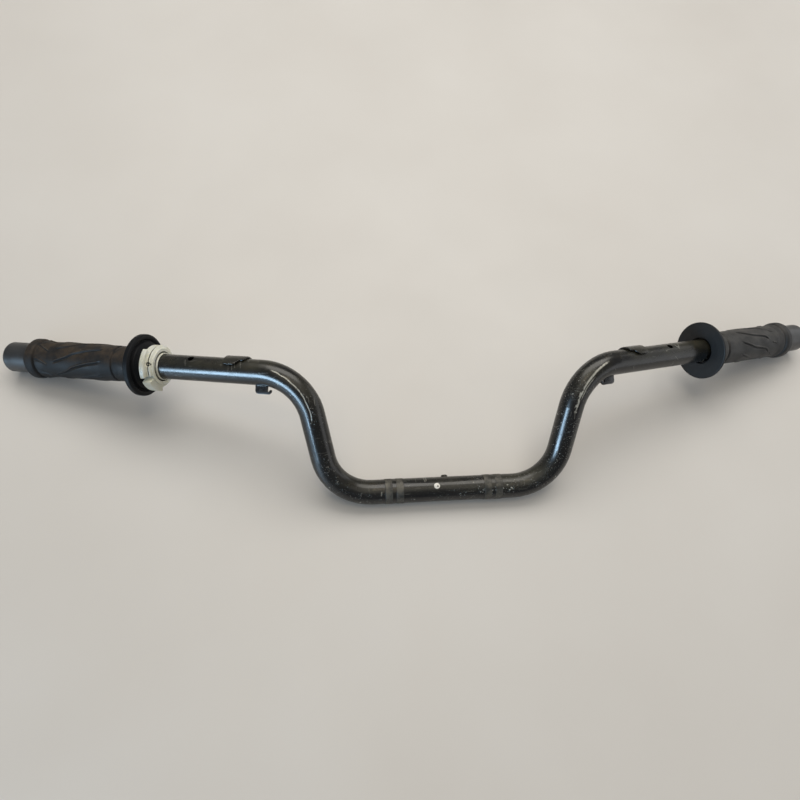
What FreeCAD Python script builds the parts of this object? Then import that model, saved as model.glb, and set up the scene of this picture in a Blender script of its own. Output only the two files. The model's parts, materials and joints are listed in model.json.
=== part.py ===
"""Motorcycle handlebar with its throttle tube, grips, end weights and cable fittings.

Units are millimetres. The bar lies as it rests on a flat surface, on its clamp section and on the
rims of its two end weights. The origin is the middle of the clamp section, on the tube's axis.
+X runs along the clamp section to the clutch side, +Y goes away from the clamp section towards the
grips, and +Z is up. The throttle is on the -X side, which is the rider's right hand.
"""

import FreeCAD, Part
import math
import os
from FreeCAD import Vector

# Driving dimensions of the tube
TUBE_R = 11.1
BORE_R = 8.8
CORNER_X = 101.0
RISE_LENGTH = 113.7
RISE_ANGLE = 79.16
ARM_CLIMB = -0.22
ARM_SWEEP = 20.13
BEND_R = 43.5
LEAN = 43.2
TUBE_END = 267.5

# The knurled clamp seats, as distances from the middle of the bar
SEAT_INNER, SEAT_OUTER, SEAT_R = 36.5, 54.0, 11.3

# Holes in the tube: distance along the arm from its corner, angle around the arm, radius
LOCATING_S, LOCATING_ANGLE, LOCATING_R = 101.5, 25.0, 2.75
RETAINER_S, RETAINER_ANGLE, RETAINER_R = 250.5, 180.0, 2.0
PLUG_X, PLUG_ANGLE, PLUG_R = -6.9, 48.8, 2.65
STUD_X, STUD_ANGLE, STUD_R, STUD_TOP = 2.2, -40.0, 3.0, 12.7

# Grips, throttle tube and end weights, as distances along the arm from its corner
FLANGE_S, FLANGE_R = 149.5, 27.8
GRIP_R, COLLAR_R, END_RING_R = 16.4, 16.0, 18.5
GRIP_END = 267.0
SLEEVE_R, SLEEVE_BORE_R, SLEEVE_END = 13.0, 11.18, 265.5

# The cable drum at the throttle tube's inner end: a lip round the bar, a hub, a flange with the
# cable's groove, and a cam that stands further out over part of the turn, with a slot through it
LIP_START, LIP_R, RELIEF_R, RELIEF_END = 131.0, 12.1, 13.2, 135.6
HUB_START, HUB_R = 132.6, 16.2
DRUM_START, DRUM_END, DRUM_R = 134.0, 142.0, 18.7
GROOVE_S, GROOVE_WIDTH, GROOVE_R = 135.8, 1.2, 16.6
CAM_START, CAM_R, CAM_FROM, CAM_TO = 138.0, 22.4, 35.0, 170.0
SLOT_FROM, SLOT_TO, SLOT_R = 106.0, 117.0, 14.8
NIPPLE_R, NIPPLE_ANGLE, NIPPLE_DEPTH = 1.9, 71.0, 3.8

# End weights and the damped weights inside the tube
WEIGHT_R, WEIGHT_END = 13.9, 294.1
CORE_R, CORE_START, CORE_END = 7.6, 168.0, 254.0
DAMPER_R, DAMPER_GROOVE_R, DAMPER_LENGTH = 8.75, 6.6, 9.0
SCREW_R, SCREW_HEAD_R, SCREW_TIP = 2.95, 5.6, 238.0

PLATE = 1.6  # thickness of the wire clips
HOOK_PLATE = 2.6  # thickness of the cable hooks

EPS = 0.5  # how far a cutting tool runs past the face that it cuts
THROTTLE, CLUTCH = -1, 1


def leaned(x, rise, front):
    """A vector given along the clamp axis, the rise and the bike's front, as it lies at rest."""
    lean = math.radians(LEAN)
    return Vector(
        x,
        rise * math.cos(lean) - front * math.sin(lean),
        rise * math.sin(lean) + front * math.cos(lean),
    )


def bar_path(side):
    """The corner points of one half of the bar's centreline, from the middle to the tube's end."""
    climb, sweep = math.radians(ARM_CLIMB), math.radians(ARM_SWEEP)
    rise = math.radians(RISE_ANGLE)
    corner = leaned(side * CORNER_X, 0, 0)
    riser = leaned(side * math.cos(rise), math.sin(rise), 0)
    arm = leaned(
        side * math.cos(sweep) * math.cos(climb), math.cos(sweep) * math.sin(climb), -math.sin(sweep)
    )
    shoulder = corner + riser * RISE_LENGTH
    return Vector(0, 0, 0), corner, shoulder, shoulder + arm * TUBE_END


class Axis:
    """A straight stretch of the bar: an origin, a direction, and the zero of angles around it."""

    def __init__(self, origin, direction):
        self.origin = origin
        self.along = Vector(direction).normalize()
        rise = leaned(0, 1, 0)
        self.zero = (rise - self.along * rise.dot(self.along)).normalize()
        quarter = self.along.cross(self.zero)
        self.quarter = quarter if quarter.dot(leaned(0, 0, 1)) > 0 else quarter * -1

    def radial(self, angle):
        turn = math.radians(angle)
        return self.zero * math.cos(turn) + self.quarter * math.sin(turn)

    def at(self, s, radius=0.0, angle=0.0):
        return self.origin + self.along * s + self.radial(angle) * radius

    def rod(self, radius, start, end):
        return Part.makeCylinder(radius, end - start, self.at(start), self.along)

    def ring(self, outer, inner, start, end):
        return self.rod(outer, start, end).cut(self.rod(inner, start - EPS, end + EPS))

    def turned(self, profile):
        """A solid of revolution about this axis. The profile is a closed list of (s, radius)."""
        points = [self.at(s, r) for s, r in profile]
        face = Part.Face(Part.makePolygon(points + points[:1]))
        return face.revolve(self.origin, self.along, 360)

    def sector(self, profile, start_angle, end_angle):
        """A profile of (s, radius) turned about this axis from one angle to another."""
        points = [self.at(s, r, start_angle) for s, r in profile]
        face = Part.Face(Part.makePolygon(points + points[:1]))
        forward = self.along.cross(self.zero).dot(self.quarter) > 0
        axis = self.along if forward else self.along * -1
        return face.revolve(self.origin, axis, end_angle - start_angle)

    def drill(self, s, angle, radius, inner, outer):
        """A round rod that stands out of the axis, for a hole or a peg in the tube's wall."""
        return Part.makeCylinder(radius, outer - inner, self.at(s, inner, angle), self.radial(angle))


CENTRE = Axis(Vector(0, 0, 0), Vector(1, 0, 0))


def arm_axis(side):
    _, _, shoulder, end = bar_path(side)
    return Axis(shoulder, end - shoulder)


ARMS = {side: arm_axis(side) for side in (THROTTLE, CLUTCH)}


def bend(before, corner, after, radius):
    """A torus segment at a corner of the path, and the points where it starts and ends."""
    arriving = (corner - before).normalize()
    leaving = (after - corner).normalize()
    turn = arriving.getAngle(leaving)
    back = BEND_R * math.tan(turn / 2)
    start, end = corner - arriving * back, corner + leaving * back
    normal = arriving.cross(leaving).normalize()
    centre = start + normal.cross(arriving) * BEND_R
    section = Part.Face(Part.Wire(Part.makeCircle(radius, start, arriving)))
    return section.revolve(centre, normal, math.degrees(turn)), start, end


def bar_solid(radius, overrun=0.0):
    """The bar's whole centreline thickened to a radius. overrun lengthens it past both ends."""
    pieces = []
    starts = []
    for side in (THROTTLE, CLUTCH):
        middle, corner, shoulder, end = bar_path(side)
        lower, lower_start, lower_end = bend(middle, corner, shoulder, radius)
        upper, upper_start, upper_end = bend(corner, shoulder, end, radius)
        riser = Part.makeCylinder(
            radius, (upper_start - lower_end).Length, lower_end, upper_start - lower_end
        )
        arm = Part.makeCylinder(
            radius, (end - upper_end).Length + overrun, upper_end, end - upper_end
        )
        pieces += [lower, riser, upper, arm]
        starts.append(lower_start)
    left, right = starts
    clamp = Part.makeCylinder(radius, (right - left).Length, left, right - left)
    return clamp.fuse(pieces).removeSplitter()


def handlebar_tube():
    """The bent steel tube, with raised knurled seats, peg holes and retainer holes."""
    tube = bar_solid(TUBE_R)
    seats = [
        CENTRE.rod(SEAT_R, -SEAT_OUTER, -SEAT_INNER),
        CENTRE.rod(SEAT_R, SEAT_INNER, SEAT_OUTER),
    ]
    tube = tube.fuse(seats).cut(bar_solid(BORE_R, overrun=EPS))
    holes = [
        CENTRE.drill(PLUG_X, PLUG_ANGLE, PLUG_R + 0.05, BORE_R - 1, TUBE_R + 1),
        CENTRE.drill(STUD_X, STUD_ANGLE, STUD_R + 0.05, BORE_R - 1, TUBE_R + 1),
    ]
    for arm in ARMS.values():
        holes.append(arm.drill(LOCATING_S, LOCATING_ANGLE, LOCATING_R, 1, TUBE_R + 1))
        holes.append(arm.drill(RETAINER_S, RETAINER_ANGLE, RETAINER_R, 1, TUBE_R + 1))
    return tube.cut(holes)


def alignment_plug():
    """The small light plug that marks the clamp's split line."""
    return CENTRE.drill(PLUG_X, PLUG_ANGLE, PLUG_R, BORE_R + 0.3, TUBE_R + 0.25)


def locating_stud():
    """The low nub on the rear of the clamp section that centres the bar between its clamps."""
    stud = Axis(CENTRE.at(STUD_X), CENTRE.radial(STUD_ANGLE))
    profile = [
        (BORE_R + 0.3, 0.0),
        (BORE_R + 0.3, STUD_R),
        (STUD_TOP - 0.5, STUD_R),
        (STUD_TOP, STUD_R - 0.5),
        (STUD_TOP, 0.0),
    ]
    return stud.turned(profile)


def wire_clip(side):
    """A bent strip welded behind the arm, whose tongue reaches over the wires on top."""
    arm = ARMS[side]
    gap, outer = TUBE_R + 0.45, TUBE_R + 0.45 + PLATE
    tongue = arm.sector([(56.0, gap), (69.5, gap), (69.5, outer), (56.0, outer)], -70, 50)
    shoulder = arm.sector([(50.5, gap), (56.0, gap), (56.0, outer), (50.5, outer)], -70, 26)
    foot = arm.sector([(52.0, TUBE_R), (68.0, TUBE_R), (68.0, gap), (52.0, gap)], -70, -50)
    return tongue.fuse([shoulder, foot]).removeSplitter()


def cable_hook(side, outboard):
    """A flat J-shaped plate welded under the bend, open towards the middle of the bar."""
    arm = ARMS[side]
    angle, bottom = 161.0, 18.4
    outline = [
        (0.0, 6.0),
        (-0.8, 16.6),
        (-2.4, bottom),
        (-13.6, bottom),
        (-15.4, 16.6),
        (-15.6, 14.4),
        (-14.2, 14.4),
        (-13.2, 16.2),
        (-11.8, 15.8),
        (-11.8, 6.0),
    ]
    down = arm.radial(angle)
    across = arm.radial(angle - 90)
    points = [arm.at(outboard + s) + down * d - across * (HOOK_PLATE / 2) for s, d in outline]
    plate = Part.Face(Part.makePolygon(points + points[:1])).extrude(across * HOOK_PLATE)
    return plate.cut(bar_solid(TUBE_R))


def throttle_tube():
    """The plastic sleeve that turns on the bar, with its cable drum at the inner end."""
    arm = ARMS[THROTTLE]
    profile = [
        (LIP_START, SLEEVE_BORE_R),
        (LIP_START, LIP_R),
        (RELIEF_END, LIP_R),
        (RELIEF_END, RELIEF_R),
        (HUB_START, RELIEF_R),
        (HUB_START, HUB_R),
        (DRUM_START, HUB_R),
        (DRUM_START, DRUM_R),
        (DRUM_END, DRUM_R),
        (DRUM_END, SLEEVE_R),
        (SLEEVE_END, SLEEVE_R),
        (SLEEVE_END, SLEEVE_BORE_R),
    ]
    thin_cam = [(CAM_START, HUB_R), (DRUM_END, HUB_R), (DRUM_END, CAM_R), (CAM_START, CAM_R)]
    thick_cam = [(DRUM_START, HUB_R), (DRUM_END, HUB_R), (DRUM_END, CAM_R), (DRUM_START, CAM_R)]
    cams = [arm.sector(thin_cam, CAM_FROM, CAM_TO), arm.sector(thick_cam, SLOT_FROM, CAM_TO)]
    low, high = DRUM_START - EPS, DRUM_END + EPS
    slot = [(low, SLOT_R), (high, SLOT_R), (high, CAM_R + EPS), (low, CAM_R + EPS)]
    cuts = [
        arm.ring(DRUM_R + EPS, GROOVE_R, GROOVE_S - GROOVE_WIDTH / 2, GROOVE_S + GROOVE_WIDTH / 2),
        arm.sector(slot, SLOT_FROM, SLOT_TO),
        arm.drill(GROOVE_S, NIPPLE_ANGLE, NIPPLE_R, DRUM_R - NIPPLE_DEPTH, CAM_R + EPS),
    ]
    return arm.turned(profile).fuse(cams).cut(cuts)


def grip_tail(bore):
    """The outer part of a grip's profile, from beyond its collar out to its end ring."""
    return [
        (195.0, GRIP_R),
        (225.0, GRIP_R + 0.1),
        (248.0, GRIP_R - 0.2),
        (252.0, GRIP_R + 0.6),
        (254.5, GRIP_R + 0.8),
        (256.0, GRIP_R - 0.6),
        (258.0, END_RING_R - 0.6),
        (260.0, END_RING_R),
        (264.5, END_RING_R),
        (GRIP_END, END_RING_R - 1.6),
        (GRIP_END, bore),
    ]


def throttle_grip():
    """The rubber grip on the throttle tube. Its flange has a rounded rim round a raised boss."""
    boss = [
        (DRUM_END + 2.0, SLEEVE_R),
        (DRUM_END + 2.0, 15.0),
        (FLANGE_S - 1.9, 20.2),
        (FLANGE_S - 1.4, 21.2),
        (FLANGE_S + 1.2, 22.0),
        (FLANGE_S + 1.2, 22.8),
    ]
    rim = [
        (FLANGE_S - 0.2, 24.0),
        (FLANGE_S - 0.5, 25.6),
        (FLANGE_S + 0.2, FLANGE_R - 0.5),
        (FLANGE_S + 1.0, FLANGE_R),
        (FLANGE_S + 4.4, FLANGE_R),
        (FLANGE_S + 5.6, FLANGE_R - 1.2),
        (FLANGE_S + 7.0, 20.0),
        (FLANGE_S + 9.5, COLLAR_R + 0.2),
        (FLANGE_S + 26.0, COLLAR_R),
        (FLANGE_S + 27.0, COLLAR_R - 0.7),
        (FLANGE_S + 28.5, COLLAR_R + 0.2),
    ]
    return ARMS[THROTTLE].turned(boss + rim + grip_tail(SLEEVE_R))


def clutch_grip():
    """The rubber grip fixed on the clutch side of the bar, with a thin flat flange."""
    flange = [
        (FLANGE_S + 3.2, TUBE_R),
        (FLANGE_S + 3.2, 12.7),
        (FLANGE_S, 12.7),
        (FLANGE_S - 0.3, 20.0),
        (FLANGE_S - 0.2, FLANGE_R - 0.4),
        (FLANGE_S + 0.3, FLANGE_R),
        (FLANGE_S + 1.8, FLANGE_R),
        (FLANGE_S + 2.5, FLANGE_R - 0.6),
        (FLANGE_S + 4.0, 20.0),
        (FLANGE_S + 6.0, COLLAR_R + 0.8),
        (FLANGE_S + 19.0, COLLAR_R + 0.8),
        (FLANGE_S + 20.6, COLLAR_R + 0.4),
        (FLANGE_S + 21.4, COLLAR_R - 0.8),
        (FLANGE_S + 22.4, COLLAR_R - 0.8),
        (FLANGE_S + 24.0, COLLAR_R + 0.2),
    ]
    return ARMS[CLUTCH].turned(flange + grip_tail(TUBE_R))


def end_weight(side):
    """The steel weight that closes the bar's end, countersunk for its screw."""
    profile = [
        (TUBE_END - 8.0, 3.2),
        (TUBE_END - 8.0, BORE_R - 0.1),
        (TUBE_END, BORE_R - 0.1),
        (TUBE_END, WEIGHT_R - 0.6),
        (TUBE_END + 0.6, WEIGHT_R),
        (WEIGHT_END - 1.8, WEIGHT_R),
        (WEIGHT_END - 0.5, WEIGHT_R - 0.7),
        (WEIGHT_END, WEIGHT_R - 1.9),
        (WEIGHT_END, SCREW_HEAD_R + 0.3),
        (WEIGHT_END - 2.7, 3.2),
    ]
    return ARMS[side].turned(profile)


def weight_screw(side):
    """The countersunk M6 screw of an end weight, with a cross recess."""
    arm = ARMS[side]
    top = WEIGHT_END - 0.3
    profile = [
        (SCREW_TIP, 0.0),
        (SCREW_TIP, SCREW_R - 0.6),
        (SCREW_TIP + 0.6, SCREW_R),
        (top - 2.6, SCREW_R),
        (top, SCREW_HEAD_R),
        (top, 0.0),
    ]
    recess = []
    for angle in (0, 90):
        wide, narrow = arm.radial(angle), arm.radial(angle + 90)
        corner = arm.at(top - 1.6) - wide * 2.6 - narrow * 0.6
        far = corner + wide * 5.2
        points = [corner, far, far + narrow * 1.2, corner + narrow * 1.2]
        recess.append(Part.Face(Part.makePolygon(points + points[:1])).extrude(arm.along * 3))
    return arm.turned(profile).cut(recess)


def inner_weight(side):
    """The long steel core inside the arm that the end weight is screwed to."""
    first, second = CORE_START + 6.0, CORE_END - 24.0
    profile = [(CORE_START, 0.0), (CORE_START, CORE_R - 1.0), (CORE_START + 1.0, CORE_R)]
    for start in (first, second):
        end = start + DAMPER_LENGTH
        profile += [
            (start, CORE_R),
            (start, DAMPER_GROOVE_R),
            (end, DAMPER_GROOVE_R),
            (end, CORE_R),
        ]
    profile += [
        (CORE_END - 6.0, CORE_R),
        (CORE_END - 6.0, 6.8),
        (CORE_END, 6.8),
        (CORE_END, 3.0),
        (SCREW_TIP - 2.0, 3.0),
        (SCREW_TIP - 4.0, 0.0),
    ]
    return ARMS[side].turned(profile)


def damper(side, outboard):
    """A rubber ring that holds the inner weight off the tube's wall."""
    start = CORE_END - 24.0 if outboard else CORE_START + 6.0
    return ARMS[side].ring(DAMPER_R, DAMPER_GROOVE_R, start, start + DAMPER_LENGTH)


def retainer_clip(side):
    """The sprung collar on the inner weight, whose peg snaps into the tube's hole."""
    arm = ARMS[side]
    collar = arm.ring(BORE_R - 0.1, 6.8, CORE_END - 6.0, CORE_END - 1.0)
    peg = arm.drill(RETAINER_S, RETAINER_ANGLE, RETAINER_R - 0.1, 8.0, TUBE_R - 0.2)
    return collar.fuse(peg)


def build():
    """Every sub-part by its node's name."""
    nodes = {
        "handlebar_tube": handlebar_tube(),
        "alignment_plug": alignment_plug(),
        "locating_stud": locating_stud(),
        "throttle_cable_hook": cable_hook(THROTTLE, outboard=42.3),
        "clutch_cable_hook": cable_hook(CLUTCH, outboard=34.5),
        "throttle_tube": throttle_tube(),
        "throttle_grip": throttle_grip(),
        "clutch_grip": clutch_grip(),
    }
    for side, name in ((THROTTLE, "throttle"), (CLUTCH, "clutch")):
        nodes[name + "_wire_clip"] = wire_clip(side)
        nodes[name + "_end_weight"] = end_weight(side)
        nodes[name + "_weight_screw"] = weight_screw(side)
        nodes[name + "_inner_weight"] = inner_weight(side)
        nodes[name + "_damper_inboard"] = damper(side, outboard=False)
        nodes[name + "_damper_outboard"] = damper(side, outboard=True)
        nodes[name + "_retainer_clip"] = retainer_clip(side)
    return nodes


def main():
    os.makedirs("parts", exist_ok=True)
    for name, shape in build().items():
        shape.exportStep(f"parts/{name}.step")
        box = shape.BoundBox
        print(
            f"{name:26s} solids {len(shape.Solids)} valid {shape.isValid()} volume {shape.Volume:10.1f}"
            f"  low {box.XMin:8.2f} {box.YMin:8.2f} {box.ZMin:8.2f}"
            f"  high {box.XMax:8.2f} {box.YMax:8.2f} {box.ZMax:8.2f}"
        )


main()
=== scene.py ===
"""The looks of the motorcycle handlebar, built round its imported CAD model.

Everything is in metres, in the CAD model's frame. Places along an arm are given as the CAD gives
them: millimetres along the arm from its corner, a radius, and an angle round the arm that is 0
towards the bar's rise and grows towards the bike's front.
"""

import json
import math

import bmesh
import bpy
import numpy as np
from mathutils import Matrix, Vector


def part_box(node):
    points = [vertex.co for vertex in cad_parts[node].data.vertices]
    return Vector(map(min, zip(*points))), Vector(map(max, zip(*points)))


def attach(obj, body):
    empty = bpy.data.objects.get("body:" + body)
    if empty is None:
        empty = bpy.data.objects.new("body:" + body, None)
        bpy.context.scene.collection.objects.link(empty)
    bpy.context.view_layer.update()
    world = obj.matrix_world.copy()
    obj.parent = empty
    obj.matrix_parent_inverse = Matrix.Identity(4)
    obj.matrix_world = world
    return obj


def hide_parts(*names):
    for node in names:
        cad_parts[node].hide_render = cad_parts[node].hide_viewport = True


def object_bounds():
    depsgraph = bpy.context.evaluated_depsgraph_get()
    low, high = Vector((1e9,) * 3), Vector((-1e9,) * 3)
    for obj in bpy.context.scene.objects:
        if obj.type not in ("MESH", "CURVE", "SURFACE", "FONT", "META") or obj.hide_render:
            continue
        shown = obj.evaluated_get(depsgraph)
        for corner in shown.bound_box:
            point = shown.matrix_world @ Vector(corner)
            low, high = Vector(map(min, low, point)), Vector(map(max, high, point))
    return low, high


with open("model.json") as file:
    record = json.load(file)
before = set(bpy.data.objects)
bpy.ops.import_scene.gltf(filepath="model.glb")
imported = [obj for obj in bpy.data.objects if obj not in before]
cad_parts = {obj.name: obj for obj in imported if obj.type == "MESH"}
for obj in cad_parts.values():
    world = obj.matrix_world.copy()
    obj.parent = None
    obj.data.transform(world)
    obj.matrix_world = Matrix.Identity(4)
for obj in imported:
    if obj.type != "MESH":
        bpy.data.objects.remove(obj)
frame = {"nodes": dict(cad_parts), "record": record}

MM = 0.001
cad_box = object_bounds()
mounts = {m["name"]: m for m in frame["record"]["mounts"]}

# The CAD model's driving sizes that the looks need, in millimetres and degrees
LEAN = 43.2
TUBE_R = 11.1
CORNER_X, BEND_R = 101.0, 43.5
SEAT_R, SEAT_WIDTH = 11.3, 17.5
CONTROL_SEAT_S = 110.0
FLANGE_S, FLANGE_R = 149.5, 27.8
COLLAR_R, GRIP_R, END_RING_R, GRIP_END = 16.0, 16.4, 18.5, 267.0
SLEEVE_R, SLEEVE_BORE_R, SLEEVE_END = 13.0, 11.2, 265.5
LIP_START, LIP_R, RELIEF_R, RELIEF_END = 131.0, 12.1, 13.2, 135.6
HUB_START, HUB_R = 132.6, 16.2
DRUM_START, DRUM_END, DRUM_R = 134.0, 142.0, 18.7
GROOVE_S, GROOVE_WIDTH, GROOVE_R = 135.8, 1.2, 16.6
CAM_START, CAM_R, CAM_FROM, CAM_TO = 138.0, 22.4, 35.0, 170.0
SLOT_FROM, SLOT_TO, SLOT_R = 106.0, 117.0, 14.8
NIPPLE_R, NIPPLE_ANGLE, NIPPLE_DEPTH = 1.9, 71.0, 3.8
CLIP_THICKNESS, CLIP_GAP, CLIP_ROOT = 1.6, 0.45, -70.0
HOOK_THICKNESS, HOOK_ANGLE = 2.6, 161.0
HOOK_OUTBOARD = {"throttle": 42.3, "clutch": 34.5}
PLUG_ANGLE = 48.8

# The camera, as the photograph's view of the bar
CAMERA_AT = (-0.0951, -0.1713, 0.5522)
CAMERA_LOOK = (0.1013, 0.4277, -0.8982)
CAMERA_UP = (0.0328, 0.9010, 0.4327)
CAMERA_LENS = 28.38

RISE = Vector((0, math.cos(math.radians(LEAN)), math.sin(math.radians(LEAN))))
FRONT = Vector((0, -math.sin(math.radians(LEAN)), math.cos(math.radians(LEAN))))


# ---------------------------------------------------------------- places on the bar


class Axis:
    """A straight stretch of the bar, with places on it as (s, radius, angle)."""

    def __init__(self, origin, along):
        self.origin = Vector(origin)
        self.along = Vector(along).normalized()
        self.zero = (RISE - self.along * RISE.dot(self.along)).normalized()
        quarter = self.along.cross(self.zero)
        self.quarter = quarter if quarter.dot(FRONT) > 0 else -quarter

    def radial(self, angle):
        turn = math.radians(angle)
        return self.zero * math.cos(turn) + self.quarter * math.sin(turn)

    def at(self, s, radius=0.0, angle=0.0):
        return self.origin + (self.along * s + self.radial(angle) * radius) * MM

    def grid(self, s, radius, angle):
        """Places for whole arrays of s, radius and angle, as rows of x, y, z."""
        turn = np.radians(angle)
        places = np.multiply.outer(s, np.array(self.along))
        places += np.multiply.outer(radius * np.cos(turn), np.array(self.zero))
        places += np.multiply.outer(radius * np.sin(turn), np.array(self.quarter))
        return places * MM + np.array(self.origin)


def arm_axis(side):
    seat = mounts[side + "_control_seat"]
    along = Vector(seat["axis"]).normalized()
    return Axis(Vector(seat["pos_m"]) - along * CONTROL_SEAT_S * MM, along)


ARMS = {side: arm_axis(side) for side in ("throttle", "clutch")}
CENTRE = Axis((0, 0, 0), (1, 0, 0))
HAND = {"throttle": -1, "clutch": 1}


# ---------------------------------------------------------------- mesh helpers


def finish_piece(name, mesh, body, material, replaced=()):
    """Links a mesh as a piece that rides on a body and wears a material."""
    piece = bpy.data.objects.new(name, mesh)
    bpy.context.scene.collection.objects.link(piece)
    mesh.materials.clear()
    mesh.materials.append(material)
    for polygon in mesh.polygons:
        polygon.use_smooth = True
    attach(piece, body)
    if replaced:
        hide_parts(*replaced)
    return piece


def ring_mesh(name, places, closed_profile=True):
    """A mesh from rows of points: each row goes round the axis, and the rows form a profile."""
    rows, around, _ = places.shape
    mesh = bpy.data.meshes.new(name)
    last = rows if closed_profile else rows - 1
    i, j = np.meshgrid(np.arange(last), np.arange(around), indexing="ij")
    i2, j2 = (i + 1) % rows, (j + 1) % around
    faces = np.stack([i * around + j, i * around + j2, i2 * around + j2, i2 * around + j], -1)
    mesh.from_pydata(places.reshape(-1, 3).tolist(), [], faces.reshape(-1, 4).tolist())
    bm = bmesh.new()
    bm.from_mesh(mesh)
    bmesh.ops.recalc_face_normals(bm, faces=bm.faces)
    bm.to_mesh(mesh)
    bm.free()
    return mesh


def resample(profile, step, soften=0):
    """A (s, radius) outline at an even step, with its corners softened over a few samples."""
    points = np.array(profile, float)
    spans = np.linalg.norm(np.diff(points, axis=0), axis=1)
    travel = np.concatenate([[0], np.cumsum(spans)])
    places = np.linspace(0, travel[-1], max(int(travel[-1] / step), 2))
    line = np.stack([np.interp(places, travel, points[:, k]) for k in (0, 1)], 1)
    for _ in range(soften):
        line[1:-1] = (line[:-2] + 2 * line[1:-1] + line[2:]) / 4
    return line


def smoothstep(low, high, x):
    t = np.clip((x - low) / (high - low), 0, 1)
    return t * t * (3 - 2 * t)


# ---------------------------------------------------------------- shader helpers


class Shader:
    """A material with a Principled shader, and short ways to add the nodes behind it."""

    def __init__(self, name, **sockets):
        self.material = bpy.data.materials.new(name)
        self.material.use_nodes = True
        self.tree = self.material.node_tree
        self.out = self.tree.nodes["Principled BSDF"]
        for socket, value in sockets.items():
            self.put(socket.replace("_", " "), value)
        self.place = self.tree.nodes.new("ShaderNodeTexCoord").outputs["Object"]
        self.normal = self.tree.nodes.new("ShaderNodeNewGeometry").outputs["Normal"]

    def put(self, socket, value):
        self.join(self.out.inputs[socket], value)

    def join(self, socket, value):
        if isinstance(value, bpy.types.NodeSocket):
            self.tree.links.new(value, socket)
        elif isinstance(value, (tuple, list, Vector)) and socket.type == "RGBA":
            socket.default_value = (*value[:3], 1)
        elif value is not None:
            socket.default_value = value

    def node(self, kind, output=0, **inputs):
        made = self.tree.nodes.new("ShaderNode" + kind)
        for key, value in inputs.items():
            if key.startswith("set_"):
                setattr(made, key[4:], value)
        for key, value in inputs.items():
            if not key.startswith("set_"):
                numbered = key[0] == "i" and key[1:].isdigit()
                index = int(key[1:]) if numbered else key.replace("_", " ")
                self.join(made.inputs[index], value)
        return made.outputs[output]

    def math(self, operation, a, b=None, clamp=False):
        return self.node("Math", set_operation=operation, set_use_clamp=clamp, i0=a, i1=b)

    def vector(self, operation, a, b=None, output=0):
        return self.node("VectorMath", output, set_operation=operation, i0=a, i1=b)

    def dot(self, a, b):
        return self.vector("DOT_PRODUCT", a, b, output="Value")

    def noise(self, scale, detail=3.0, roughness=0.55, place=None, stretch=None):
        place = self.place if place is None else place
        if stretch:
            place = self.vector("MULTIPLY", place, stretch)
        return self.node(
            "TexNoise",
            "Fac",
            Vector=place,
            Scale=scale,
            Detail=detail,
            Roughness=roughness,
        )

    def step(self, value, low, high, to_low=0.0, to_high=1.0):
        """value from low to high, eased, as to_low to to_high."""
        return self.node(
            "MapRange",
            set_interpolation_type="SMOOTHSTEP",
            i0=value,
            i1=low,
            i2=high,
            i3=to_low,
            i4=to_high,
        )

    def mix(self, factor, a, b):
        made = self.tree.nodes.new("ShaderNodeMix")
        made.data_type = "RGBA"
        self.join(made.inputs[0], factor)
        self.join(made.inputs[6], a)
        self.join(made.inputs[7], b)
        return made.outputs[2]

    def most(self, *values):
        result = values[0]
        for value in values[1:]:
            result = self.math("MAXIMUM", result, value)
        return result

    def times(self, *values):
        result = values[0]
        for value in values[1:]:
            result = self.math("MULTIPLY", result, value)
        return result

    def bump(self, height, distance, strength=1.0, under=None):
        return self.node(
            "Bump", Height=height, Distance=distance, Strength=strength, Normal=under
        )

    def facing(self, direction, low, high):
        """1 where the surface faces a fixed direction of the frame, eased to 0."""
        return self.step(self.dot(self.normal, Vector(direction).normalized()), low, high)


def scratches(shader, scale, stretch, width, seed, keep=0.55):
    """Thin broken lines: the zero crossings of a strongly stretched noise, kept in patches."""
    moved = shader.vector("ADD", shader.place, (seed, seed * 0.7, -seed))
    line = shader.noise(scale, 0.0, 0.0, place=moved, stretch=stretch)
    thin = shader.step(shader.math("ABSOLUTE", shader.math("SUBTRACT", line, 0.5)), width, 0.0)
    patch = shader.noise(scale * 0.9, 2.0, 0.5, place=moved)
    return shader.times(thin, shader.step(patch, keep, keep + 0.05))


def specks(shader, scale, low, high, seed):
    """Small irregular spots where a detailed noise runs high."""
    moved = shader.vector("ADD", shader.place, (seed, -seed, seed * 0.5))
    return shader.step(shader.noise(scale, 6.0, 0.7, place=moved), low, high)


# ---------------------------------------------------------------- materials


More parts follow.
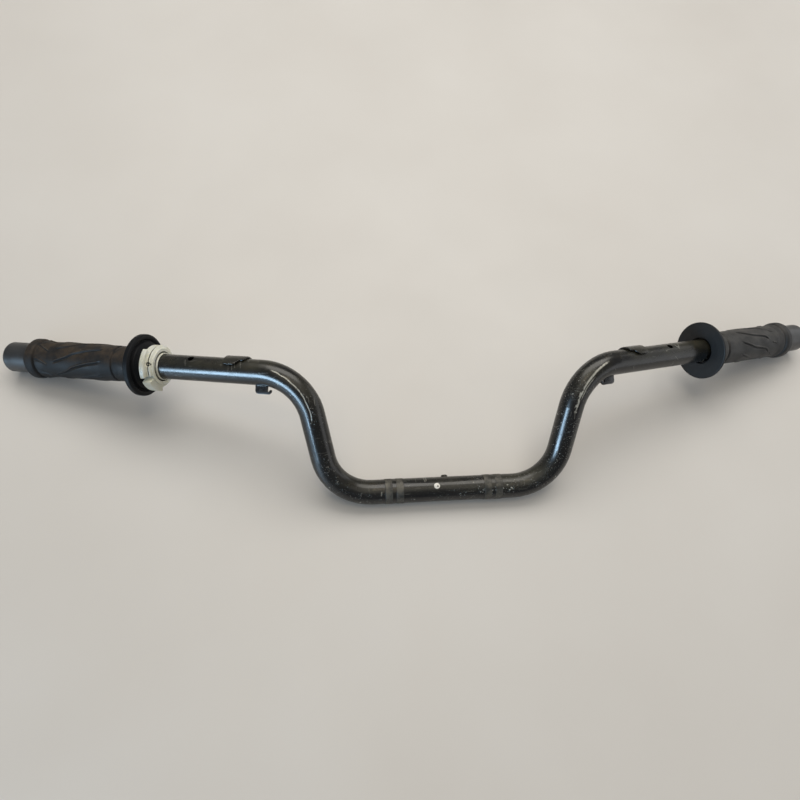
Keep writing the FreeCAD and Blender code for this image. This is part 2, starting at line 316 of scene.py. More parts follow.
def rub_line(shader, side, offset_mm, width, start, end):
    """A long bare rub on the outer half of the bend where the riser turns into the arm."""
    arm = ARMS[side]
    riser = (arm.origin - Vector((HAND[side] * CORNER_X * MM, 0, 0))).normalized()
    turn = riser.angle(arm.along)
    axis = riser.cross(arm.along).normalized()
    bend_start = arm.origin - riser * BEND_R * MM * math.tan(turn / 2)
    centre = bend_start + axis.cross(riser) * BEND_R * MM
    front = axis if axis.dot(FRONT) > 0 else -axis
    offset = shader.vector("SUBTRACT", shader.place, centre)
    height = shader.dot(offset, front)
    out_of_plane = shader.node(
        "VectorMath", "Vector", set_operation="SCALE", i0=tuple(front), Scale=height
    )
    flat = shader.vector("SUBTRACT", offset, out_of_plane)
    reach = shader.vector("LENGTH", flat, output="Value")
    travel = shader.dot(offset, riser)
    target = shader.math("MULTIPLY_ADD", travel, 0.085)
    target.node.inputs[2].default_value = (BEND_R + offset_mm) * MM
    wander = shader.times(shader.math("SUBTRACT", shader.noise(70.0, 2.0), 0.5), 2.0 * MM)
    beyond = shader.math("SUBTRACT", reach, target)
    gap = shader.math("ABSOLUTE", shader.math("ADD", beyond, wander))
    broken = shader.step(shader.noise(500.0, 4.0, 0.7), 0.34, 0.48)
    line = shader.step(gap, width * MM, width * 0.4 * MM)
    begin = shader.step(travel, start * MM, (start + 5) * MM)
    along_arm = shader.dot(shader.vector("SUBTRACT", shader.place, arm.origin), arm.along)
    stop = shader.step(along_arm, end * MM, (end - 5) * MM)
    ahead = shader.step(height, 3 * MM, 5 * MM)
    return shader.times(line, broken, begin, stop, ahead)


def outer_edge(shader):
    """1 along the parts of the bar that get knocked: the lower bends and the clutch half."""
    x = shader.node("SeparateXYZ", "X", Vector=shader.place)
    span = shader.step(shader.math("ABSOLUTE", x), 0.150, 0.125)
    front = shader.facing((0, -1, 0.1), 0.15, 0.75)
    outward = shader.times(
        shader.step(shader.math("ABSOLUTE", x), 0.075, 0.1), shader.facing((0, -0.75, 0.65), 0.3, 0.9)
    )
    clutch_half = shader.times(shader.step(x, -0.004, 0.03), shader.step(x, 0.15, 0.12), 0.8)
    return shader.times(span, shader.most(front, shader.times(outward, 0.6), clutch_half))


def tube_paint():
    """Old semi-gloss black paint: olive dust on top, scratched, chipped where it was knocked."""
    s = Shader("tube_paint")
    tone = s.noise(55.0, 4.0, 0.6)
    black = s.mix(s.step(tone, 0.3, 0.7), (0.004, 0.004, 0.0045), (0.009, 0.0088, 0.008))
    up = s.facing((0.05, 0.35, 0.95), 0.35, 1.0)
    dust_patch = s.noise(38.0, 5.0, 0.65, stretch=(0.5, 1.0, 1.0))
    dust = s.times(up, s.step(dust_patch, 0.30, 0.72))
    painted = s.mix(s.times(dust, 0.8), black, (0.040, 0.037, 0.022))
    brown = s.times(s.step(s.noise(130.0, 5.0, 0.7), 0.54, 0.74), up, 0.5)
    painted = s.mix(brown, painted, (0.055, 0.040, 0.022))

    chip = s.most(
        specks(s, 260.0, 0.645, 0.67, 1.3),
        specks(s, 560.0, 0.645, 0.67, 4.1),
        s.times(specks(s, 900.0, 0.63, 0.66, 6.3), 0.7),
    )
    chip = s.times(chip, s.step(outer_edge(s), 0.25, 0.8), s.step(s.noise(34.0, 3.0), 0.36, 0.52))
    lines = s.most(
        scratches(s, 50.0, (0.06, 1.6, 1.6), 0.010, 2.0, 0.58),
        scratches(s, 90.0, (1.4, 0.09, 0.12), 0.012, 7.0, 0.60),
        scratches(s, 110.0, (0.5, 1.4, 0.07), 0.012, 11.0, 0.61),
    )
    rubs = s.most(
        rub_line(s, "throttle", 3.2, 0.55, -4.0, 26.0),
        rub_line(s, "clutch", 3.2, 0.85, -2.0, 24.0),
        s.times(rub_line(s, "clutch", 1.4, 0.6, 8.0, 8.0), 0.7),
        s.times(rub_line(s, "clutch", 3.6, 1.6, -6.0, 0.0), s.step(s.noise(300.0, 5.0), 0.48, 0.56)),
    )
    bare = s.most(chip, rubs, s.times(lines, 0.4))
    metal = s.mix(s.noise(300.0, 3.0), (0.30, 0.29, 0.25), (0.62, 0.61, 0.55))
    s.put("Base Color", s.mix(bare, painted, metal))
    s.put("Metallic", s.times(bare, 0.35))
    gloss = s.step(s.noise(75.0, 5.0, 0.65), 0.25, 0.75, 0.18, 0.28)
    rough = s.math("ADD", gloss, s.times(dust, 0.14))
    s.put("Roughness", s.math("ADD", rough, s.times(bare, 0.18), clamp=True))
    peel = s.bump(s.noise(900.0, 2.0), 0.00003, 0.4)
    s.put("Normal", s.bump(s.math("SUBTRACT", 1.0, bare), 0.00012, 0.7, under=peel))
    return s.material


def knurl_paint():
    """Flattened knurling, where paint stays in the valleys and the crests are rubbed grey."""
    s = Shader("knurl_paint")
    reach = s.vector("LENGTH", s.vector("MULTIPLY", s.place, (0, 1, 1)), output="Value")
    crest = s.step(reach, (SEAT_R + 0.02) * MM, (SEAT_R + 0.1) * MM)
    worn = s.times(crest, s.step(s.noise(140.0, 4.0, 0.7), 0.35, 0.62))
    s.put("Base Color", s.mix(worn, (0.018, 0.017, 0.014), (0.13, 0.122, 0.10)))
    s.put("Metallic", s.times(worn, 0.4))
    s.put("Roughness", s.step(s.noise(260.0, 3.0), 0.3, 0.7, 0.34, 0.52))
    s.put("Normal", s.bump(s.noise(1500.0, 2.0), 0.00004, 0.5))
    return s.material


RUBBER_SHEEN = {"throttle": 0.16, "clutch": 0.42}
DUST = {"throttle": (0.085, 0.060, 0.038), "clutch": (0.070, 0.066, 0.060)}


def grip_rubber(side):
    """Charcoal rubber with a fine moulded grain, brown dust on top, and rubbed ridge crests."""
    arm = ARMS[side]
    s = Shader(side + "_rubber", Specular_IOR_Level=RUBBER_SHEEN[side])
    offset = s.vector("SUBTRACT", s.place, arm.origin)
    along = s.dot(offset, arm.along)
    reach = s.vector("LENGTH", s.vector("CROSS_PRODUCT", offset, arm.along), output="Value")
    body = s.step(along, (FLANGE_S + 5) * MM, (FLANGE_S + 16) * MM)
    tone = s.noise(48.0, 5.0, 0.6)
    rubber = s.mix(s.step(tone, 0.3, 0.7), (0.010, 0.0105, 0.0115), (0.022, 0.022, 0.023))
    rubber = s.mix(body, (0.004, 0.0045, 0.006), rubber)
    up = s.facing((0, 0.45, 0.9), 0.1, 0.95)
    dust = s.times(up, body, s.step(s.noise(85.0, 6.0, 0.7), 0.34, 0.68))
    dusty = s.mix(s.times(dust, 0.6), rubber, DUST[side])
    crest = s.times(
        s.step(reach, (GRIP_R + 0.25) * MM, (GRIP_R + 0.65) * MM),
        s.step(along, 0.252, 0.246),
        s.step(s.noise(520.0, 4.0, 0.7), 0.36, 0.56),
        body,
    )
    line = s.times(scratches(s, 120.0, (0.3, 1.3, 1.3), 0.008, 3.0, 0.56), body, 0.3)
    s.put("Base Color", s.mix(s.most(line, s.times(crest, 0.4)), dusty, (0.12, 0.112, 0.10)))
    s.put("Roughness", s.step(s.noise(60.0, 4.0), 0.3, 0.7, 0.46, 0.64))
    grain = s.bump(s.noise(2300.0, 2.0), 0.00006, 0.5)
    s.put("Normal", s.bump(s.noise(340.0, 4.0, 0.6), 0.00012, 0.35, under=grain))
    return s.material


def drum_plastic():
    """Off-white nylon, yellowed, with painted shade and patches of greasy dirt darkening its corners
    and grooves, and small dark scuffs.
    """
    s = Shader("drum_plastic", Subsurface_Weight=0.12)
    s.out.inputs["Subsurface Radius"].default_value = (0.004, 0.0035, 0.002)
    aged = s.step(s.noise(70.0, 4.0, 0.6), 0.35, 0.65)
    yellow = s.mix(aged, (0.70, 0.71, 0.65), (0.62, 0.61, 0.49))
    # Painted shade: ambient occlusion darkens the corners and grooves, kept to patches of greasy dirt
    # by a noise.
    hollow = s.node("AmbientOcclusion", "AO", set_samples=8, Distance=0.004)
    grease_and_painted_shade = s.times(s.step(hollow, 0.62, 0.30), s.step(s.noise(240.0, 5.0, 0.7), 0.18, 0.45))
    scuff = s.most(
        specks(s, 380.0, 0.64, 0.70, 5.0), scratches(s, 160.0, (1.2, 0.6, 0.8), 0.012, 5.0, 0.52)
    )
    dirty = s.mix(s.times(scuff, 0.5), yellow, (0.20, 0.18, 0.13))
    # The dark brown is the painted shade of the hollows, in greasy patches.
    s.put("Base Color", s.mix(grease_and_painted_shade, dirty, (0.06, 0.052, 0.036)))
    s.put("Roughness", s.step(s.noise(150.0, 4.0), 0.3, 0.7, 0.34, 0.52))
    s.put("Normal", s.bump(s.noise(700.0, 3.0), 0.00005, 0.5))
    return s.material


def weight_paint():
    """Satin dark paint on turned steel, with rubbed edges."""
    s = Shader("weight_paint")
    tone = s.mix(s.noise(60.0, 4.0), (0.022, 0.023, 0.025), (0.040, 0.041, 0.042))
    edge = s.node("Bevel", set_samples=6, Radius=0.0008)
    rounded = s.step(s.dot(edge, s.normal), 0.995, 0.93)
    rub = s.times(rounded, s.step(s.noise(320.0, 4.0, 0.7), 0.42, 0.6))
    chip = s.times(specks(s, 330.0, 0.66, 0.70, 8.0), 0.7)
    s.put("Base Color", s.mix(s.most(s.times(rub, 0.6), chip), tone, (0.30, 0.30, 0.29)))
    s.put("Roughness", s.step(s.noise(110.0, 5.0), 0.3, 0.7, 0.30, 0.46))
    s.put("Normal", s.bump(s.noise(1200.0, 2.0), 0.00004, 0.5))
    return s.material


def hook_paint():
    """Satin black paint on pressed steel, thin and greyed on its edges."""
    s = Shader("hook_paint")
    tone = s.mix(s.noise(120.0, 4.0), (0.012, 0.013, 0.016), (0.026, 0.027, 0.030))
    edge = s.node("Bevel", set_samples=6, Radius=0.0006)
    rub = s.times(
        s.step(s.dot(edge, s.normal), 0.99, 0.9), s.step(s.noise(500.0, 4.0), 0.42, 0.6), 0.6
    )
    s.put("Base Color", s.mix(rub, tone, (0.26, 0.25, 0.23)))
    s.put("Roughness", s.step(s.noise(220.0, 4.0), 0.3, 0.7, 0.22, 0.36))
    s.put("Normal", s.bump(s.noise(1000.0, 3.0), 0.00005, 0.6))
    return s.material


def steel(name, dark, light, roughness):
    """Bare or plated steel with a little tarnish."""
    s = Shader(name, Metallic=1.0)
    s.put("Base Color", s.mix(s.noise(180.0, 5.0, 0.65), dark, light))
    s.put("Roughness", s.step(s.noise(260.0, 4.0), 0.3, 0.7, roughness - 0.08, roughness + 0.1))
    s.put("Normal", s.bump(s.noise(1600.0, 2.0), 0.00003, 0.6))
    return s.material


def plug_plastic():
    """White nylon of the alignment plug, with painted shade as a dark spot where its punched dimple
    is.
    """
    s = Shader("plug_plastic")
    centre = (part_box("alignment_plug")[0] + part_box("alignment_plug")[1]) / 2
    offset = s.vector("SUBTRACT", s.place, centre + Vector((0.0007, -0.0006, 0)))
    reach = s.vector("LENGTH", s.vector("MULTIPLY", offset, (1, 1, 0)), output="Value")
    # Painted shade: the dome has no hollow, so a dark spot stands for the shade in the punched
    # dimple.
    dimple_shade = s.step(reach, 0.0011, 0.0006)
    tone = s.mix(s.noise(500.0, 4.0), (0.70, 0.69, 0.64), (0.86, 0.85, 0.80))
    s.put("Base Color", s.mix(s.times(dimple_shade, 0.85), tone, (0.05, 0.045, 0.04)))
    s.put("Roughness", s.step(s.noise(400.0, 3.0), 0.3, 0.7, 0.35, 0.5))
    s.put("Normal", s.bump(s.noise(900.0, 2.0), 0.00004, 0.5))
    return s.material


def damper_rubber():
    """Dull black rubber."""
    s = Shader("damper_rubber", Specular_IOR_Level=0.3)
    s.put("Base Color", s.mix(s.noise(150.0, 4.0), (0.012, 0.012, 0.012), (0.03, 0.03, 0.03)))
    s.put("Roughness", s.step(s.noise(300.0, 3.0), 0.3, 0.7, 0.6, 0.8))
    s.put("Normal", s.bump(s.noise(1200.0, 2.0), 0.00006, 0.5))
    return s.material


# ---------------------------------------------------------------- the grips


# The moulded swoosh and the short dash near the end ring, as (s, angle). Both repeat round it
SWOOSH = {
    "throttle": [
        (184, 25),
        (190, 33),
        (199, 38),
        (208, 46),
        (216, 55),
        (221, 65),
        (228, 74),
        (237, 85),
    ],
    "clutch": [(189, 15), (196, 24), (203, 33), (210, 42), (220, 48), (227, 53), (232, 66)],
}
DASH = {
    "throttle": [(241, 49), (247, 38), (255, 26)],
    "clutch": [(236, 30), (242, 34)],
}
PATTERN_REPEATS = 8


def beside(s, angle, points):
    """How far each place lies from the nearest repeat of a line, in mm, and how far along it."""
    places, turns = np.array(points, float).T
    steps = np.arange(places[0], places[-1], 0.5)
    path = np.interp(steps, places, turns)
    for _ in range(12):
        path[1:-1] = (path[:-2] + 2 * path[1:-1] + path[2:]) / 4
    slope = np.interp(s, steps, np.radians(np.gradient(path, steps)) * GRIP_R)
    period = 360 / PATTERN_REPEATS
    gap = np.mod(angle - np.interp(s, steps, path) + period / 2, period) - period / 2
    across = np.radians(gap) * GRIP_R / np.sqrt(1 + slope**2)
    return across, (s - places[0]) / (places[-1] - places[0])


def ridge(across, width):
    return np.exp(-((across / width) ** 2))


def grip_relief(side, s, angle):
    """How far the moulded pattern stands out of a grip's surface, in mm."""
    across, along = beside(s, angle, SWOOSH[side])
    taper = smoothstep(0, 0.15, along) * smoothstep(1.0, 0.93, along)
    pattern = taper * (0.5 * ridge(across + 1.1, 0.7) - 1.0 * ridge(across - 0.35, 0.7))
    across, along = beside(s, angle, DASH[side])
    fade = smoothstep(0, 0.15, along) * smoothstep(1.0, 0.85, along)
    return pattern + fade * (0.65 * ridge(across, 0.7) - 0.4 * ridge(across - 1.3, 0.5))


TAIL = [
    (182.0, 16.25),
    (195.0, GRIP_R),
    (225.0, GRIP_R + 0.1),
    (248.0, GRIP_R - 0.1),
    (252.5, GRIP_R + 0.6),
    (254.5, GRIP_R + 0.8),
    (255.6, GRIP_R - 0.6),
    (256.4, GRIP_R - 0.5),
    (257.8, END_RING_R - 0.7),
    (260.0, END_RING_R),
    (264.5, END_RING_R),
    (GRIP_END, END_RING_R - 1.6),
]
THROTTLE_FLANGE = [
    (DRUM_END + 2.0, SLEEVE_R),
    (DRUM_END + 2.0, 15.0),
    (FLANGE_S - 1.9, 20.2),
    (FLANGE_S - 1.4, 21.2),
    (FLANGE_S + 1.2, 22.0),
    (FLANGE_S + 1.2, 22.8),
    (FLANGE_S - 0.2, 24.0),
    (FLANGE_S - 0.5, 25.6),
    (FLANGE_S + 0.2, FLANGE_R - 0.5),
    (FLANGE_S + 1.0, FLANGE_R),
    (FLANGE_S + 4.4, FLANGE_R),
    (FLANGE_S + 5.6, FLANGE_R - 1.2),
    (FLANGE_S + 7.0, 20.0),
    (FLANGE_S + 9.5, COLLAR_R + 0.2),
    (FLANGE_S + 24.2, COLLAR_R),
    (FLANGE_S + 24.9, COLLAR_R - 0.9),
    (FLANGE_S + 25.8, COLLAR_R - 0.9),
    (FLANGE_S + 26.6, COLLAR_R + 0.2),
]
CLUTCH_FLANGE = [
    (FLANGE_S + 3.2, TUBE_R + 0.1),
    (FLANGE_S + 3.2, 12.7),
    (FLANGE_S, 12.7),
    (FLANGE_S - 0.3, 20.0),
    (FLANGE_S - 0.2, FLANGE_R - 0.4),
    (FLANGE_S + 0.3, FLANGE_R),
    (FLANGE_S + 1.8, FLANGE_R),
    (FLANGE_S + 2.5, FLANGE_R - 0.6),
    (FLANGE_S + 4.0, 20.0),
    (FLANGE_S + 6.0, COLLAR_R + 0.8),
    (FLANGE_S + 19.0, COLLAR_R + 0.8),
    (FLANGE_S + 20.6, COLLAR_R + 0.4),
    (FLANGE_S + 21.2, COLLAR_R - 0.9),
    (FLANGE_S + 22.4, COLLAR_R - 0.9),
    (FLANGE_S + 23.6, COLLAR_R + 0.2),
]


def grip(side, flange, bore, body, material):
    """A moulded rubber grip with its flange, collar, swooshes, dashes and end ring."""
    outer = resample(flange + TAIL, 0.36, soften=1)
    inner = resample([TAIL[-1], (GRIP_END, bore), flange[0]], 2.5)[1:-1]
    angles = np.linspace(0, 360, 420, endpoint=False)
    s, angle = np.meshgrid(outer[:, 0], angles, indexing="ij")
    relief = grip_relief(side, s, angle) * (outer[:, 1:] < GRIP_R + 0.75)
    inner_s, inner_angle = np.meshgrid(inner[:, 0], angles, indexing="ij")
    inner_radius = np.repeat(inner[:, 1:], len(angles), 1)
    radius = np.vstack([outer[:, 1:] + relief, inner_radius])
    places = ARMS[side].grid(np.vstack([s, inner_s]), radius, np.vstack([angle, inner_angle]))
    mesh = ring_mesh(side + "_grip_rubber", places)
    return finish_piece(
        side + "_grip_rubber", mesh, body, material, [side + "_grip"]
    )


# ---------------------------------------------------------------- the throttle tube


def between(low, high, x, soft):
    """1 where x lies from low to high, eased to 0 over the width soft."""
    half = soft / 2
    return smoothstep(low - half, low + half, x) * smoothstep(high + half, high - half, x)


def drum_radius(s, angle):
    """The drum's outer radius, with its cam, cable groove, nipple pocket and slot."""
    thick = between(SLOT_TO, CAM_TO, angle, 0.8)
    thin = between(CAM_FROM, CAM_TO, angle, 0.8) * smoothstep(CAM_START - 0.1, CAM_START + 0.1, s)
    cam = np.maximum(thick, thin)
    near_end = smoothstep(DRUM_START + 0.4, DRUM_START, s)
    far_end = smoothstep(DRUM_END - 0.4, DRUM_END, s)
    ends = 0.35 * (near_end + far_end)
    radius = DRUM_R + cam * (CAM_R - DRUM_R) - ends
    half = GROOVE_WIDTH / 2
    groove = between(GROOVE_S - half, GROOVE_S + half, s, 0.2) * (1 - thick)
    radius = radius - groove * (DRUM_R - GROOVE_R)
    slot = between(SLOT_FROM, SLOT_TO, angle, 0.8)
    radius = radius - slot * (radius - SLOT_R)
    reach = np.hypot(s - GROOVE_S, np.radians(angle - NIPPLE_ANGLE) * DRUM_R)
    pocket = smoothstep(NIPPLE_R + 0.15, NIPPLE_R - 0.15, reach)
    nipple = 0.75 * smoothstep(NIPPLE_R - 0.5, NIPPLE_R - 0.8, reach)
    return radius - np.maximum(pocket - nipple, 0) * NIPPLE_DEPTH


def throttle_sleeve(material):
    """The nylon throttle tube: cable drum, hub and the sleeve under the grip."""
    front = [
        (LIP_START, SLEEVE_BORE_R),
        (LIP_START, LIP_R - 0.15),
        (LIP_START + 0.2, LIP_R),
        (RELIEF_END, LIP_R),
        (RELIEF_END, RELIEF_R),
        (HUB_START + 0.2, RELIEF_R),
        (HUB_START, RELIEF_R + 0.2),
        (HUB_START, HUB_R - 0.3),
        (HUB_START + 0.3, HUB_R),
        (DRUM_START, HUB_R),
    ]
    back = [
        (DRUM_END, SLEEVE_R - 0.05),
        (SLEEVE_END, SLEEVE_R - 0.05),
        (SLEEVE_END, SLEEVE_BORE_R),
        (LIP_START + 2.0, SLEEVE_BORE_R),
    ]
    rim = np.arange(DRUM_START, DRUM_END + 0.05, 0.1)
    rim = np.stack([rim, np.full(rim.shape, DRUM_R)], 1)
    front, back = resample(front, 0.3), resample(back, 3.0)
    profile = np.vstack([front, rim, back])
    angles = np.linspace(0, 360, 600, endpoint=False)
    s, angle = np.meshgrid(profile[:, 0], angles, indexing="ij")
    radius = np.repeat(profile[:, 1:], len(angles), 1)
    on_rim = slice(len(front), len(front) + len(rim))
    radius[on_rim] = drum_radius(s[on_rim], angle[on_rim])
    mesh = ring_mesh("throttle_sleeve", ARMS["throttle"].grid(s, radius, angle))
    return finish_piece(
        "throttle_sleeve", mesh, "throttle", material, ["throttle_tube"]
    )


# ---------------------------------------------------------------- pressed steel plates


def plate_mesh(name, outline, thickness, bevel, place, cuts=0.0):
    """A flat plate with rounded edges from an outline in mm, then carried into place.

    place turns (x, y, height) in mm into a point. cuts is the spacing of bends along y.
    """
    curve = bpy.data.curves.new(name + "_outline", "CURVE")
    curve.dimensions = "2D"
    curve.fill_mode = "BOTH"
    curve.extrude = thickness / 2 - bevel
    curve.bevel_depth = bevel
    curve.bevel_resolution = 3
    curve.offset = -bevel
    spline = curve.splines.new("POLY")
    spline.points.add(len(outline) - 1)
    for point, (x, y) in zip(spline.points, outline):
        point.co = (x, y, 0, 1)
    spline.use_cyclic_u = True
    carrier = bpy.data.objects.new(name + "_outline", curve)
    mesh = bpy.data.meshes.new_from_object(carrier)
    bpy.data.objects.remove(carrier)
    bpy.data.curves.remove(curve)
    bm = bmesh.new()
    bm.from_mesh(mesh)
    bmesh.ops.remove_doubles(bm, verts=bm.verts, dist=0.001)
    if cuts:
        low = min(v.co.y for v in bm.verts)
        high = max(v.co.y for v in bm.verts)
        for k in range(1, int((high - low) / cuts) + 1):
            geometry = bm.verts[:] + bm.edges[:] + bm.faces[:]
            bmesh.ops.bisect_plane(
                bm, geom=geometry, plane_co=(0, low + k * cuts, 0), plane_no=(0, 1, 0)
            )
    for vertex in bm.verts:
        vertex.co = place(*vertex.co)
    bmesh.ops.recalc_face_normals(bm, faces=bm.faces)
    bm.to_mesh(mesh)
    bm.free()
    return mesh


def rounded(points, radius, steps=5):
    """An outline with each corner replaced by an arc."""
    corners = [Vector(p) for p in points]
    result = []
    for k, corner in enumerate(corners):
        before, after = corners[k - 1], corners[(k + 1) % len(corners)]
        a, b = (before - corner), (after - corner)
        reach = min(radius, a.length * 0.45, b.length * 0.45)
        start, end = corner + a.normalized() * reach, corner + b.normalized() * reach
        for step in range(steps + 1):
            t = step / steps
            result.append(start * (1 - t) ** 2 + corner * 2 * t * (1 - t) + end * t * t)
    return [(p.x, p.y) for p in result]


def wire_clip(side, material):
    """The strip welded behind the arm: a wide tongue over the top and a narrower shoulder."""
    arm = ARMS[side]
    middle_radius = TUBE_R + CLIP_GAP + CLIP_THICKNESS / 2
    tongue_end, shoulder_end = 50.0, 26.0
    per_degree = math.radians(1) * middle_radius
    corners = [
        (50.5, CLIP_ROOT),
        (50.5, shoulder_end - 6),
        (51.5, shoulder_end),
        (54.6, shoulder_end),
        (56.2, shoulder_end + 12),
        (58.2, tongue_end),
        (67.6, tongue_end),
        (69.5, tongue_end - 9),
        (69.5, CLIP_ROOT),
    ]
    outline = rounded([(s, angle * per_degree) for s, angle in corners], 1.8)

    def place(s, y, height):
        angle = y / per_degree
        lift = 0.45 * math.exp(-(((angle - tongue_end) / 14) ** 2))
        return arm.at(s, middle_radius + height + lift, angle)

    mesh = plate_mesh(side + "_clip", outline, CLIP_THICKNESS, 0.35, place, cuts=0.8)
    return finish_piece(
        side + "_clip_plate", mesh, "bar", material, [side + "_wire_clip"]
    )


def cable_hook(side, material):
    """The flat J-shaped plate welded under the bend."""
    arm = ARMS[side]
    corners = [
        (0.0, 6.0),
        (-0.8, 16.6),
        (-2.4, 18.4),
        (-13.6, 18.4),
        (-15.4, 16.6),
        (-15.6, 14.4),
        (-14.2, 14.4),
        (-13.2, 16.2),
        (-11.8, 15.8),
        (-11.8, 6.0),
    ]

    def place(s, down, height):
        sideways = arm.radial(HOOK_ANGLE - 90) * height * MM
        return arm.at(HOOK_OUTBOARD[side] + s, down, HOOK_ANGLE) - sideways

    mesh = plate_mesh(side + "_hook", rounded(corners, 1.0), HOOK_THICKNESS, 0.45, place)
    return finish_piece(
        side + "_hook_plate", mesh, "bar", material, [side + "_cable_hook"]
    )


def weld_bead(name, centreline, radius, material):
    """A rippled bead of weld along a list of points."""
    points = [Vector(p) for p in centreline]
    rows = []
    for k, point in enumerate(points):
        ahead = (points[min(k + 1, len(points) - 1)] - points[max(k - 1, 0)]).normalized()
        side = ahead.orthogonal().normalized()
        up = ahead.cross(side)
        taper = math.sin(math.pi * (k + 0.6) / (len(points) + 0.2)) ** 0.3
        swell = radius * (1 + 0.14 * math.sin(k * 1.7)) * taper
        rows.append(
            [
                point + (side * math.cos(t) + up * math.sin(t)) * swell * MM
                for t in np.linspace(0, 2 * math.pi, 12, endpoint=False)
            ]
        )
    places = np.array([[tuple(p) for p in row] for row in rows])
    mesh = ring_mesh(name, places, closed_profile=False)
    bm = bmesh.new()
    bm.from_mesh(mesh)
    bmesh.ops.holes_fill(bm, edges=[e for e in bm.edges if e.is_boundary])
    bmesh.ops.recalc_face_normals(bm, faces=bm.faces)
    bm.to_mesh(mesh)
    bm.free()
    return finish_piece(name, mesh, "bar", material)


# ---------------------------------------------------------------- details of the tube


def knurl_band(name, start, end, material):
    """A band of flattened diamond knurling round the clamp section."""
    count = 72
    rows, around = 44, count * 8
    steps = np.linspace(start, end, rows)
    angles = np.linspace(0, 360, around, endpoint=False)
    s, angle = np.meshgrid(steps, angles, indexing="ij")
    pitch = 2 * math.pi * SEAT_R / count
    phase = s / pitch * 2 * math.pi
    turn = np.radians(angle) * count
    diamond = np.abs(np.sin((phase + turn) / 2)) + np.abs(np.sin((phase - turn) / 2))
    crest = np.clip(diamond - 0.75, 0, 0.7) / 0.7
    ends = smoothstep(0, 0.5, s - start) * smoothstep(0, 0.5, end - s)
    radius = SEAT_R + 0.01 + 0.11 * crest * ends
    inner = np.full((1, around), SEAT_R - 0.15)
    s = np.vstack([np.full((1, around), start), s, np.full((1, around), end)])
    angle = np.vstack([angle[:1], angle, angle[:1]])
    radius = np.vstack([inner, radius, inner])
    mesh = ring_mesh(name, CENTRE.grid(s, radius, angle))
    return finish_piece(name, mesh, "bar", material)


def plug_dome(material):
    """The alignment plug's low domed head."""
    low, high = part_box("alignment_plug")
    middle_x = (low.x + high.x) / 2
    axis = Axis((middle_x, 0, 0), CENTRE.radial(PLUG_ANGLE))
    outline = [(10.6, 2.62), (11.15, 2.62), (11.4, 2.35), (11.62, 1.4), (11.66, 0.05)]
    profile = resample(outline, 0.12, soften=2)
    angles = np.linspace(0, 360, 64, endpoint=False)
    s, angle = np.meshgrid(profile[:, 0], angles, indexing="ij")
    radius = np.repeat(profile[:, 1:], len(angles), 1)
    mesh = ring_mesh("plug_dome", axis.grid(s, radius, angle), closed_profile=False)
    return finish_piece("plug_dome", mesh, "bar", material)


# ---------------------------------------------------------------- floor, lights, camera


def floor():
    """A plain pale surface under the bar, with only a slight unevenness of tone."""
    size = 3.0
    level = cad_box[0].z
    mesh = bpy.data.meshes.new("floor")
    corners = [(-size, -size, level), (size, -size, level), (size, size, level), (-size, size, level)]
    mesh.from_pydata(corners, [], [(0, 1, 2, 3)])
    s = Shader("floor", Specular_IOR_Level=0.4)
    tone = s.noise(5.0, 4.0, 0.5)
    s.put("Base Color", s.mix(tone, (0.62, 0.595, 0.565), (0.70, 0.685, 0.665)))
    s.put("Roughness", s.step(s.noise(9.0, 3.0), 0.3, 0.7, 0.42, 0.56))
    mesh.materials.append(s.material)
    obj = bpy.data.objects.new("floor", mesh)
    bpy.context.scene.collection.objects.link(obj)


def soft_light(name, place, aim, size, power, colour, only_reflected=False):
    """A rectangular light aimed at a point. With only_reflected it shows in gloss alone."""
    data = bpy.data.lights.new(name, "AREA")
    data.shape = "RECTANGLE"
    data.size, data.size_y = size
    data.energy = power
    data.color = colour
    obj = bpy.data.objects.new(name, data)
    obj.location = place
    obj.visible_diffuse = not only_reflected
    obj.rotation_mode = "QUATERNION"
    obj.rotation_quaternion = (Vector(aim) - Vector(place)).to_track_quat("-Z", "Y")
    bpy.context.scene.collection.objects.link(obj)


def lights():
    """A broad soft light from behind, a ceiling with a warm lamp, and a cool low window."""
    world = bpy.data.worlds.new("studio")
    world.use_nodes = True
    world.node_tree.nodes["Background"].inputs["Color"].default_value = (0.95, 0.97, 1.0, 1)
    world.node_tree.nodes["Background"].inputs["Strength"].default_value = 0.22
    bpy.context.scene.world = world
    soft_light("back", (0.1, 1.25, 1.75), (0, 0, 0), (2.2, 1.3), 32, (1.0, 0.96, 0.89))
    soft_light("ceiling", (0.0, -0.3, 2.3), (0, 0, 0), (2.6, 1.8), 9, (1.0, 0.94, 0.80))
    soft_light("lamp", (-0.15, 0.1, 1.9), (0, 0, 0), (0.34, 0.34), 1.7, (1.0, 0.82, 0.56))
    soft_light("right_wall", (2.1, 0.1, 0.5), (0, 0, 0), (3.2, 1.0), 10, (0.98, 0.99, 1.0))
    soft_light("window", (-1.5, -1.15, 0.6), (0, 0, 0), (1.2, 1.0), 5, (0.50, 0.75, 1.0))
    soft_light("pane", (-1.45, -1.1, 0.6), (0, 0, 0), (0.75, 0.7), 42, (0.52, 0.76, 1.0), True)


def camera():
    data = bpy.data.cameras.new("camera")
    data.lens = CAMERA_LENS
    data.sensor_width = 36
    obj = bpy.data.objects.new("camera", data)
    back = -Vector(CAMERA_LOOK).normalized()
    right = Vector(CAMERA_UP).cross(back).normalized()
    up = back.cross(right)
    obj.matrix_world = Matrix.Translation(CAMERA_AT) @ Matrix((right, up, back)).transposed().to_4x4()
    bpy.context.scene.collection.objects.link(obj)
    bpy.context.scene.camera = obj


# ---------------------------------------------------------------- putting it together


def knurl_bands(side, material):
    """Two knurled bands, one at each end of a clamp seat."""
    middle = mounts[side + "_clamp_seat"]["pos_m"][0] / MM
    low, high = middle - SEAT_WIDTH / 2, middle + SEAT_WIDTH / 2
    knurl_band(side + "_knurl_a", low + 0.4, low + 7.0, material)
    knurl_band(side + "_knurl_b", high - 7.0, high - 0.4, material)


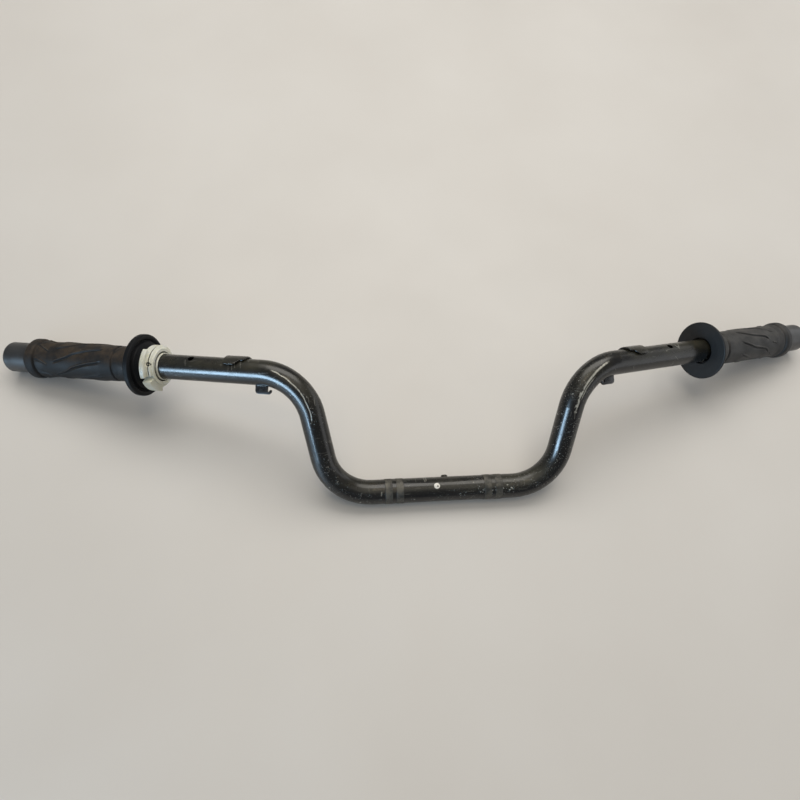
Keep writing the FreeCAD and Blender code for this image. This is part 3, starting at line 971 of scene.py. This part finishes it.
def welds(side, material):
    """Beads along both faces of the cable hook and along the wire clip's root."""
    arm = ARMS[side]
    start = HOOK_OUTBOARD[side] - 11.5
    for face, angle in (("front", HOOK_ANGLE - 7), ("rear", HOOK_ANGLE + 7)):
        line = [arm.at(start + k * 0.7, TUBE_R + 0.1, angle) for k in range(16)]
        weld_bead(f"{side}_hook_weld_{face}", line, 0.9, material)
    line = [arm.at(53.5 + k * 1.1, TUBE_R + 0.4, CLIP_ROOT - 1.5) for k in range(16)]
    weld_bead(side + "_clip_weld", line, 1.0, material)


def build_pieces(paint):
    """Every piece that is finer than its CAD node, or that the CAD model leaves out."""
    hook = hook_paint()
    knurl = knurl_paint()
    grip("throttle", THROTTLE_FLANGE, SLEEVE_R, "throttle", grip_rubber("throttle"))
    grip("clutch", CLUTCH_FLANGE, TUBE_R + 0.05, "bar", grip_rubber("clutch"))
    throttle_sleeve(drum_plastic())
    plug_dome(plug_plastic())
    for side in ARMS:
        wire_clip(side, paint)
        cable_hook(side, hook)
        knurl_bands(side, knurl)
        welds(side, paint)


def paint_cad_nodes(paint):
    """The materials of the CAD nodes that still show, inside the arms and out."""
    weight = weight_paint()
    core = steel("core_steel", (0.30, 0.29, 0.28), (0.48, 0.47, 0.45), 0.4)
    plated = steel("screw_steel", (0.42, 0.41, 0.38), (0.62, 0.61, 0.58), 0.34)
    spring = steel("spring_steel", (0.34, 0.34, 0.36), (0.52, 0.52, 0.54), 0.32)
    damper = damper_rubber()
    paints = {"handlebar_tube": paint, "locating_stud": paint, "alignment_plug": plug_plastic()}
    for side in ARMS:
        paints[side + "_end_weight"] = weight
        paints[side + "_weight_screw"] = plated
        paints[side + "_inner_weight"] = core
        paints[side + "_damper_inboard"] = damper
        paints[side + "_damper_outboard"] = damper
        paints[side + "_retainer_clip"] = spring
    for node, material in paints.items():
        for slot in frame["nodes"][node].material_slots:
            slot.material = material


def build():
    paint = tube_paint()
    build_pieces(paint)
    paint_cad_nodes(paint)


bpy.context.scene.view_settings.view_transform = "Standard"
camera()
build()
floor()
lights()
